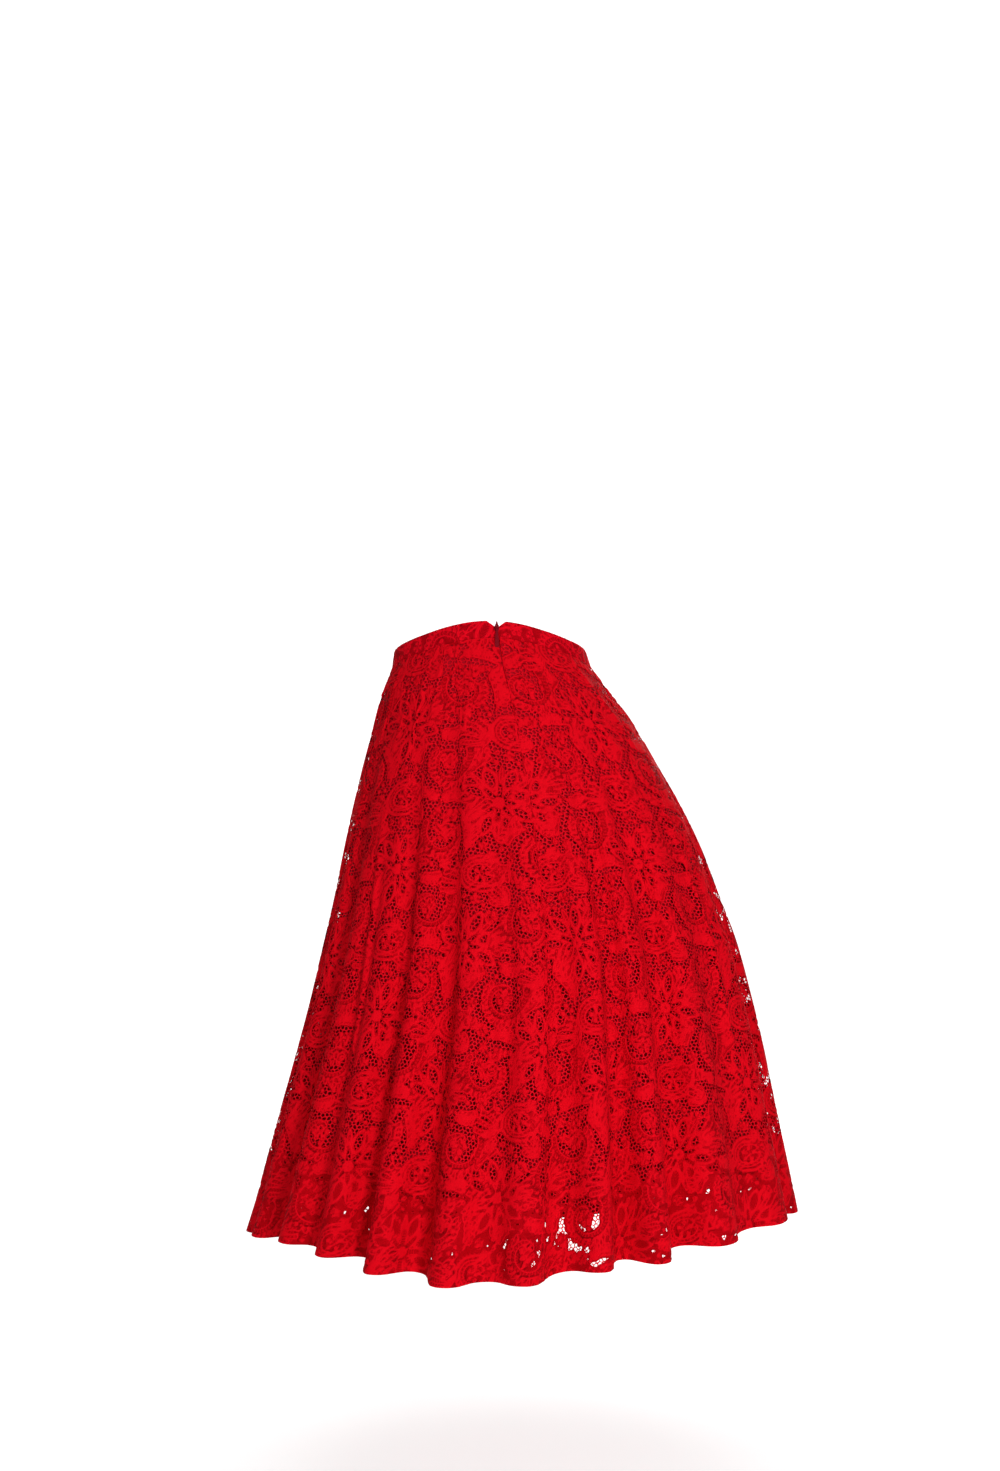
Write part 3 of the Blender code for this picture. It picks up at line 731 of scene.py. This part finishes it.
def corded_relief():
    """Node group: the cords along a motif's edges, the ribs inside it, and the threads of the cloth, as a
    height for the bump, and that height with a random mottle as a colour share that paints light: painted
    highlight on cords and ribs, painted shade in hollows and in the gaps between motifs.
    """
    group = bpy.data.node_groups.new("corded relief", "ShaderNodeTree")
    inputs = {"Edge": "NodeSocketFloat", "Vein": "NodeSocketFloat", "Cloth": "NodeSocketVector"}
    for name, kind in inputs.items():
        group.interface.new_socket(name, in_out="INPUT", socket_type=kind)
    for name in ("Height", "Mottle and Painted Light"):
        group.interface.new_socket(name, in_out="OUTPUT", socket_type="NodeSocketFloat")
    made = add_nodes(
        group,
        given=("NodeGroupInput", {}),
        out=("NodeGroupOutput", {}),
        shifted=("ShaderNodeMath", {"operation": "ADD", 1: 1.4}),
        off_cord=("ShaderNodeMath", {"operation": "ABSOLUTE"}),
        cord=("ShaderNodeMapRange", {"interpolation_type": "SMOOTHSTEP", 1: 1.5, 2: 0.4, 3: 0.0, 4: 1.0}),
        turned=("ShaderNodeMath", {"operation": "MULTIPLY", 1: 1.45}),
        wave=("ShaderNodeMath", {"operation": "SINE"}),
        rib=("ShaderNodeMapRange", {1: -1.0, 2: 1.0, 3: 0.0, 4: 0.72}),
        inner=("ShaderNodeMath", {"operation": "MAXIMUM"}),
        # ground darkens the colour and lowers the relief outside the motifs' edges: painted shade in the
        # gaps between motifs
        ground=("ShaderNodeMapRange", {1: 0.2, 2: 1.3, 3: 1.0, 4: 0.15}),
        raised=("ShaderNodeMath", {"operation": "MULTIPLY"}),
        threads=("ShaderNodeTexNoise", {"Scale": 900.0, "Detail": 2.0}),
        patches=("ShaderNodeTexNoise", {"Scale": 26.0, "Detail": 3.0}),
        rough=("ShaderNodeMath", {"operation": "MULTIPLY_ADD", 1: 0.30}),
        # Mottle and painted light: random patches plus the relief's height, so the colour carries painted
        # highlight on cords and ribs and painted shade in hollows
        shade=("ShaderNodeMath", {"operation": "MULTIPLY_ADD", 1: 0.45}),
    )
    link_nodes(
        group, made,
        ("given", "Edge", "shifted", 0),
        ("shifted", 0, "off_cord", 0),
        ("off_cord", 0, "cord", 0),
        ("given", "Vein", "turned", 0),
        ("turned", 0, "wave", 0),
        ("wave", 0, "rib", 0),
        ("cord", 0, "inner", 0),
        ("rib", 0, "inner", 1),
        ("given", "Cloth", "threads", "Vector"),
        ("given", "Cloth", "patches", "Vector"),
        ("given", "Edge", "ground", 0),
        ("inner", 0, "raised", 0),
        ("ground", 0, "raised", 1),
        ("threads", 0, "rough", 0),
        ("raised", 0, "rough", 2),
        ("rough", 0, "out", "Height"),
        ("patches", 0, "shade", 0),
        ("rough", 0, "shade", 2),
        ("shade", 0, "out", "Mottle and Painted Light"),
    )
    return group


relief_group = corded_relief()


def corded_cloth(name, deep, bright, rise):
    """Red corded cloth with painted light: deep red as painted shade in the hollows of its relief and
    between motifs, bright red as painted highlight along its cords, over a random mottle.
    """
    material, tree, shader = new_material(name)
    made = add_nodes(
        tree,
        uv=("ShaderNodeUVMap", {"uv_map": "cloth"}),
        edge=("ShaderNodeAttribute", {"attribute_name": "edge"}),
        vein=("ShaderNodeAttribute", {"attribute_name": "vein"}),
        relief=("ShaderNodeGroup", {"node_tree": relief_group}),
        # The colour follows the relief's painted light: painted shade in hollows and gaps, painted highlight
        # on cords and ribs
        share=("ShaderNodeMapRange", {1: 0.25, 2: 1.45, 3: 0.0, 4: 1.0}),
        tint=tint_between(deep, bright),
        bump=("ShaderNodeBump", {"Strength": 0.9, "Distance": rise}),
    )
    link_nodes(
        tree, made,
        ("edge", "Fac", "relief", "Edge"),
        ("vein", "Fac", "relief", "Vein"),
        ("uv", "UV", "relief", "Cloth"),
        ("relief", "Mottle and Painted Light", "share", 0),
        ("share", 0, "tint", "Factor"),
        ("tint", 2, "shader", "Base Color"),
        ("relief", "Height", "bump", "Height"),
        ("bump", "Normal", "shader", "Normal"),
    )
    shader.inputs["Roughness"].default_value = 0.70
    shader.inputs["Specular IOR Level"].default_value = 0.02
    shader.inputs["Sheen Weight"].default_value = 0.02
    shader.inputs["Sheen Tint"].default_value = (1.0, 0.10, 0.16, 1)
    return material


# Each runs from a deep red, the painted shade of hollows and gaps, to a bright red, the painted highlight of
# cords
lace_red = corded_cloth("corded lace", (0.38, 0.0, 0.003), (0.77, 0.002, 0.010), 0.0009)
net_red = corded_cloth("lace net", (0.42, 0.0, 0.003), (0.74, 0.003, 0.012), 0.0004)

# How far motifs, net and the zip's edges stand off the lace's face. Widths there are in flutes
MOTIF_RISE = 0.8 * MM
MOTIF_SHOULDER = 1.5
MOTIF_ROUNDNESS = 0.6
NET_SINK = 0.1 * MM
SEAM_GROOVE = 1.8 * MM
LIP_WIDTH = 0.05
LIP_DROP = 0.10
ZIP_PARTING = 0.035
ZIP_PARTED_WIDTH = 0.08
ZIP_PARTED_DROP = 0.07
CORD_EDGE = -1.1

# Small creases, listed one by one: where each starts in flutes and how far it leans on its way down, its top
# and its length below the waist seam, its half width in flutes, and how far it stands out
Crease = namedtuple("Crease", "flute lean top length width height")
CREASES = (
    Crease(flute=0.25, lean=0.30, top=0.004, length=0.075, width=0.045, height=0.0018),
    Crease(flute=0.55, lean=0.55, top=0.002, length=0.100, width=0.050, height=0.0022),
    Crease(flute=0.85, lean=0.20, top=0.010, length=0.085, width=0.040, height=0.0016),
    Crease(flute=1.20, lean=0.60, top=0.003, length=0.125, width=0.055, height=0.0024),
    Crease(flute=1.75, lean=0.40, top=0.008, length=0.090, width=0.045, height=0.0019),
    Crease(flute=2.30, lean=0.75, top=0.002, length=0.140, width=0.060, height=0.0026),
    Crease(flute=3.10, lean=0.50, top=0.006, length=0.110, width=0.060, height=0.0021),
    Crease(flute=4.20, lean=0.35, top=0.004, length=0.120, width=0.060, height=0.0022),
    Crease(flute=5.30, lean=0.20, top=0.008, length=0.100, width=0.060, height=0.0019),
    Crease(flute=-0.55, lean=-0.35, top=0.003, length=0.095, width=0.050, height=0.0021),
    Crease(flute=-0.90, lean=-0.20, top=0.007, length=0.080, width=0.045, height=0.0016),
    Crease(flute=-1.30, lean=-0.60, top=0.002, length=0.120, width=0.060, height=0.0026),
    Crease(flute=-1.85, lean=-0.35, top=0.006, length=0.095, width=0.050, height=0.0019),
    Crease(flute=-2.50, lean=-0.70, top=0.003, length=0.135, width=0.060, height=0.0026),
    Crease(flute=-3.30, lean=-0.45, top=0.005, length=0.115, width=0.060, height=0.0021),
    Crease(flute=-4.40, lean=-0.30, top=0.003, length=0.125, width=0.060, height=0.0022),
    Crease(flute=7.20, lean=0.25, top=0.004, length=0.110, width=0.060, height=0.0021),
    Crease(flute=8.60, lean=0.45, top=0.003, length=0.130, width=0.060, height=0.0024),
    Crease(flute=9.90, lean=0.20, top=0.007, length=0.090, width=0.050, height=0.0018),
    Crease(flute=11.20, lean=-0.15, top=0.003, length=0.120, width=0.060, height=0.0022),
    Crease(flute=12.50, lean=-0.40, top=0.005, length=0.105, width=0.055, height=0.0019),
    Crease(flute=13.80, lean=-0.30, top=0.003, length=0.130, width=0.060, height=0.0024),
    Crease(flute=15.10, lean=-0.45, top=0.006, length=0.110, width=0.060, height=0.0021),
    Crease(flute=3.55, lean=-0.20, top=0.180, length=0.420, width=0.070, height=0.0047),
    Crease(flute=4.55, lean=0.15, top=0.260, length=0.400, width=0.080, height=0.0053),
    Crease(flute=2.50, lean=0.10, top=0.300, length=0.360, width=0.060, height=0.0037),
    Crease(flute=-1.55, lean=0.10, top=0.240, length=0.400, width=0.070, height=0.0043),
    Crease(flute=-3.60, lean=-0.12, top=0.160, length=0.480, width=0.080, height=0.0053),
    Crease(flute=-4.50, lean=0.10, top=0.280, length=0.380, width=0.070, height=0.0043),
    Crease(flute=0.45, lean=0.08, top=0.220, length=0.420, width=0.060, height=0.0031),
    Crease(flute=7.50, lean=0.10, top=0.200, length=0.450, width=0.080, height=0.0047),
    Crease(flute=9.45, lean=-0.12, top=0.260, length=0.400, width=0.070, height=0.0043),
    Crease(flute=12.55, lean=0.10, top=0.220, length=0.430, width=0.080, height=0.0050),
    Crease(flute=14.50, lean=-0.10, top=0.280, length=0.380, width=0.070, height=0.0040),
)
CREASE_BLUNTNESS = 0.6


def crease_lift(flute, drop):
    """How far the creases stand out from the form."""
    lift = np.zeros_like(flute)
    for crease in CREASES:
        share = np.clip((drop - crease.top) / crease.length, 0, 1)
        off = (flute - crease.flute - crease.lean * share + FLUTE_COUNT / 2) % FLUTE_COUNT - FLUTE_COUNT / 2
        ends = np.sin(math.pi * share) ** CREASE_BLUNTNESS
        lift += crease.height * ends * np.exp(-((off / crease.width) ** 2))
    return lift


def lace_lift(flute, drop):
    """The creases, and the lips of the zip's opening where the two back panels turn in."""
    at_seam = np.minimum(np.abs(flute - CENTRE_SEAM), np.abs(flute - CENTRE_SEAM - FLUTE_COUNT))
    lip = np.exp(-((at_seam / LIP_WIDTH) ** 2)) * np.clip(1 - drop / LIP_DROP, 0, 1) ** 0.5
    return crease_lift(flute, drop) - SEAM_GROOVE * lip


def lace_points(flute, drop):
    """The lace's face, with its two edges parted a little at the top of the zip."""
    parting = ZIP_PARTING * np.clip(1 - drop / ZIP_PARTED_DROP, 0, 1)
    after, before = flute - CENTRE_SEAM, CENTRE_SEAM + FLUTE_COUNT - flute
    at_left, at_right = (np.exp(-((off / ZIP_PARTED_WIDTH) ** 2)) for off in (after, before))
    return skirt_points(flute + parting * (at_left - at_right), drop)


def set_attribute(mesh, name, values):
    mesh.attributes.new(name, "FLOAT", "POINT").data.foreach_set("value", values.astype(np.float32))


def dress_lace(mesh, panel, flute, drop, edges):
    """Gives a hung panel its places on the cloth and its motifs for the material."""
    x, y = on_grain(panel, flute, drop)
    set_uv(mesh, x * MM, y * MM)
    set_attribute(mesh, "edge", edges)
    set_attribute(mesh, "vein", read_repeat(motif_vein, x, y))


for panel in PANELS:
    close = close_cloth(panel)
    flute, drop = flat_places(close)
    edges = read_repeat(motif_edge, *on_grain(panel, flute, drop))
    dome = MOTIF_RISE * np.clip(-edges / MOTIF_SHOULDER, 0, 1) ** MOTIF_ROUNDNESS
    hang(close, lace_points, lace_lift(flute, drop) + dome)
    dress_lace(close, panel, flute, drop, edges)
    lace = add_piece(close, lace_red)
    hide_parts(f"lace_{panel.name}")
    ground = net(panel)
    flute, drop = flat_places(ground)
    hang(ground, lace_points, lace_lift(flute, drop) - NET_SINK)
    # The net's edge sits at a cord's middle, so its threads take the painted highlight of a cord
    dress_lace(ground, panel, flute, drop, np.full_like(flute, CORD_EDGE))
    netting = add_piece(ground, net_red)
    angle = np.interp(panel.end, rounds, cut_angles) - np.interp(panel.start, rounds, cut_angles)


# The waistband: a straight band of the lace over lining cloth, pressed flat, seamed to the lace and the
# lining at its lower edge. At the centre back its corners slope down into a small notch over the zip.
BAND_THICKNESS = 2.6 * MM
WAIST_HALF_WIDTH = 0.123
WAIST_HALF_DEPTH = 0.093
NOTCH_HALF_WIDTH = 12.0 * MM
NOTCH_DEPTH = 9.0 * MM


def band_points(flute, share):
    """Points of the waistband's outer face, from its top edge at 0 to its seam at 1."""
    angle = flute_place(flute)[0]
    seam_angle = flute_place(np.array([CENTRE_SEAM]))[0]
    from_centre = np.abs(WAIST_HALF_WIDTH * (np.sin(angle) - np.sin(seam_angle)))
    notch = NOTCH_DEPTH * np.maximum(1 - from_centre / NOTCH_HALF_WIDTH, 0)
    notch = np.where(np.cos(angle) > 0, notch, 0.0)
    drop = notch + (BAND_HEIGHT - notch) * share
    seam, down = SECTIONS[0], drop / BAND_HEIGHT
    left = WAIST_HALF_WIDTH + (seam.left - WAIST_HALF_WIDTH) * down
    right = WAIST_HALF_WIDTH + (seam.right - WAIST_HALF_WIDTH) * down
    back = WAIST_HALF_DEPTH + (seam.back - WAIST_HALF_DEPTH) * down
    front = WAIST_HALF_DEPTH + seam.front - seam.back + (seam.back - WAIST_HALF_DEPTH) * down
    return ring_points(left, right, back, front, angle, 0.0, waist_lift(angle) - drop)


BAND_COLUMNS_PER_FLUTE = 26
BAND_GRID_ROWS = 14
BAND_PARTING = 0.025
BAND_MOTIF_ROW = 14.0
BAND_RISE = 0.45 * MM
BAND_SHOULDER = 1.2
BAND_SINK = 0.10 * MM
BAND_ROLL = 0.5 * MM
BAND_OPENEST = 1.2
band_grid = flat_grid(
    FLUTE_COUNT * BAND_COLUMNS_PER_FLUTE, BAND_GRID_ROWS,
    CENTRE_SEAM + BAND_PARTING, CENTRE_SEAM + FLUTE_COUNT - BAND_PARTING, 0.0, 1.0,
)
band_mesh = as_mesh("waistband_cloth", band_grid)
flute, share = flat_places(band_mesh)
band_x = np.interp(flute, rounds, cut_angles) * CUT_RADIUS / MM
band_y = share * BAND_HEIGHT / MM + BAND_MOTIF_ROW
band_edges = read_repeat(motif_edge, band_x, band_y)
lift = BAND_RISE * np.clip(-band_edges / BAND_SHOULDER, 0, 1) - BAND_SINK
rolled = BAND_ROLL * (np.abs(2 * share - 1) ** 8)
hang(band_mesh, band_points, lift - rolled)
set_uv(band_mesh, band_x * MM, band_y * MM)
# The edge is capped, which keeps the painted shade between the band's motifs a little less dark and their
# relief a little less low
set_attribute(band_mesh, "edge", np.minimum(band_edges, BAND_OPENEST))
set_attribute(band_mesh, "vein", read_repeat(motif_vein, band_x, band_y))
band_red = corded_cloth("waistband lace", (0.32, 0.0, 0.003), (0.80, 0.002, 0.012), 0.0008)
waistband = add_piece(band_mesh, band_red)
thicken(waistband, BAND_THICKNESS)
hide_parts("waistband")


# The zip: an invisible zip behind the centre-back edges, its tape sewn to them from inside. Its coil and
# its slider are the red of the cloth, and only the slider's lacquered pull tab shows outside the lace.
def lacquer():
    material, tree, shader = new_material("red lacquered metal")
    made = add_nodes(
        tree,
        place=("ShaderNodeTexCoord", {}),
        specks=("ShaderNodeTexNoise", {"Scale": 900.0, "Detail": 3.0}),
        worn=("ShaderNodeMapRange", {1: 0.35, 2: 0.75, 3: 0.35, 4: 0.55}),
        tint=tint_between((0.15, 0.0, 0.005), (0.24, 0.001, 0.008)),
    )
    link_nodes(
        tree, made,
        ("place", "Object", "specks", "Vector"),
        ("specks", 0, "worn", 0),
        ("specks", 0, "tint", "Factor"),
        ("worn", 0, "shader", "Roughness"),
        ("tint", 2, "shader", "Base Color"),
    )
    shader.inputs["Metallic"].default_value = 0.0
    shader.inputs["Specular IOR Level"].default_value = 0.05
    return material


def woven_tape():
    material, tree, shader = new_material("zip tape")
    made = add_nodes(
        tree,
        place=("ShaderNodeTexCoord", {}),
        weave=("ShaderNodeTexWave", {"Scale": 420.0, "Distortion": 0.3, "bands_direction": "Z"}),
        tint=tint_between((0.20, 0.001, 0.006), (0.34, 0.003, 0.010)),
        bump=("ShaderNodeBump", {"Strength": 0.6, "Distance": 0.0002}),
    )
    link_nodes(
        tree, made,
        ("place", "Object", "weave", "Vector"),
        ("weave", "Fac", "tint", "Factor"),
        ("tint", 2, "shader", "Base Color"),
        ("weave", "Fac", "bump", "Height"),
        ("bump", "Normal", "shader", "Normal"),
    )
    shader.inputs["Roughness"].default_value = 0.8
    return material


metal = lacquer()
tape_cloth = woven_tape()
for name, finish in (("zip_slider", metal), ("zip_pull", metal), ("zip_tape", tape_cloth)):
    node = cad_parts[name]
    node.data.materials.clear()
    node.data.materials.append(finish)


# Floor and light: a pale floor that curves up into a pale wall, at the height a wearer would stand on,
# and soft studio light from beside the camera. The camera sees the paper and the world a little brighter
# than they light the skirt.
FLOOR_HEIGHT = -1.03
FLOOR_NEAR = 6.0
FLOOR_FLAT = 11.0
FLOOR_HALF_WIDTH = 7.0
COVE_RADIUS = 2.0
COVE_RUN = 20.0
bm = bmesh.new()
bmesh.ops.create_grid(bm, x_segments=2, y_segments=80, size=1)
for vert in bm.verts:
    run = (vert.co.y + 1) / 2 * COVE_RUN
    bend = min(max(run - FLOOR_FLAT, 0) / COVE_RADIUS, math.pi / 2)
    climb = max(run - FLOOR_FLAT - COVE_RADIUS * math.pi / 2, 0)
    vert.co.y = FLOOR_NEAR - min(run, FLOOR_FLAT) - COVE_RADIUS * math.sin(bend)
    vert.co.z = FLOOR_HEIGHT + COVE_RADIUS * (1 - math.cos(bend)) + climb
    vert.co.x *= FLOOR_HALF_WIDTH
bmesh.ops.recalc_face_normals(bm, faces=bm.faces)
floor_mesh = as_mesh("floor", bm)
floor_mesh.shade_smooth()
paper, tree, shader = new_material("pale paper")
shader.inputs["Base Color"].default_value = (0.93, 0.93, 0.93, 1)
shader.inputs["Roughness"].default_value = 0.9
shader.inputs["Emission Color"].default_value = (0.4, 0.4, 0.4, 1)
made = add_nodes(tree, rays=("ShaderNodeLightPath", {}))
tree.links.new(made["rays"].outputs["Is Camera Ray"], shader.inputs["Emission Strength"])
floor_mesh.materials.append(paper)
floor = bpy.data.objects.new("floor", floor_mesh)
bpy.context.scene.collection.objects.link(floor)

world = bpy.data.worlds.new("studio")
world.use_nodes = True
tree = world.node_tree
made = add_nodes(
    tree,
    rays=("ShaderNodeLightPath", {}),
    seen=("ShaderNodeBackground", {"Color": (1, 1, 1, 1), "Strength": 1.0}),
    mixed=("ShaderNodeMixShader", {}),
)
ambient = tree.nodes["Background"]
ambient.inputs["Color"].default_value = (1, 1, 1, 1)
ambient.inputs["Strength"].default_value = 0.22
tree.links.new(made["rays"].outputs["Is Camera Ray"], made["mixed"].inputs[0])
tree.links.new(ambient.outputs[0], made["mixed"].inputs[1])
tree.links.new(made["seen"].outputs[0], made["mixed"].inputs[2])
tree.links.new(made["mixed"].outputs[0], tree.nodes["World Output"].inputs["Surface"])
bpy.context.scene.world = world
Light = namedtuple("Light", "name place target size power")
for light in (
    Light(name="key", place=(-0.9, 2.6, 0.35), target=(0, 0, -0.4), size=0.5, power=40),
    Light(name="fill", place=(1.2, 2.9, 0.0), target=(0, 0, -0.4), size=1.4, power=11),
    Light(name="front", place=(-1.0, -2.6, 0.8), target=(0, 0, -0.4), size=1.2, power=22),
    Light(name="wall", place=(0.0, -3.6, 3.4), target=(0, -7.0, 0.6), size=3.0, power=120),
    Light(name="floor", place=(0.0, -1.0, 2.9), target=(0, -2.6, -1.0), size=3.2, power=45),
):
    lamp = bpy.data.objects.new(light.name, bpy.data.lights.new(light.name, "AREA"))
    lamp.data.size = light.size
    lamp.data.energy = light.power
    lamp.location = light.place
    lamp.visible_camera = False
    aim = Vector(light.target) - lamp.location
    lamp.rotation_euler = aim.to_track_quat("-Z", "Y").to_euler()
    bpy.context.scene.collection.objects.link(lamp)
bpy.context.scene.view_settings.view_transform = "Standard"
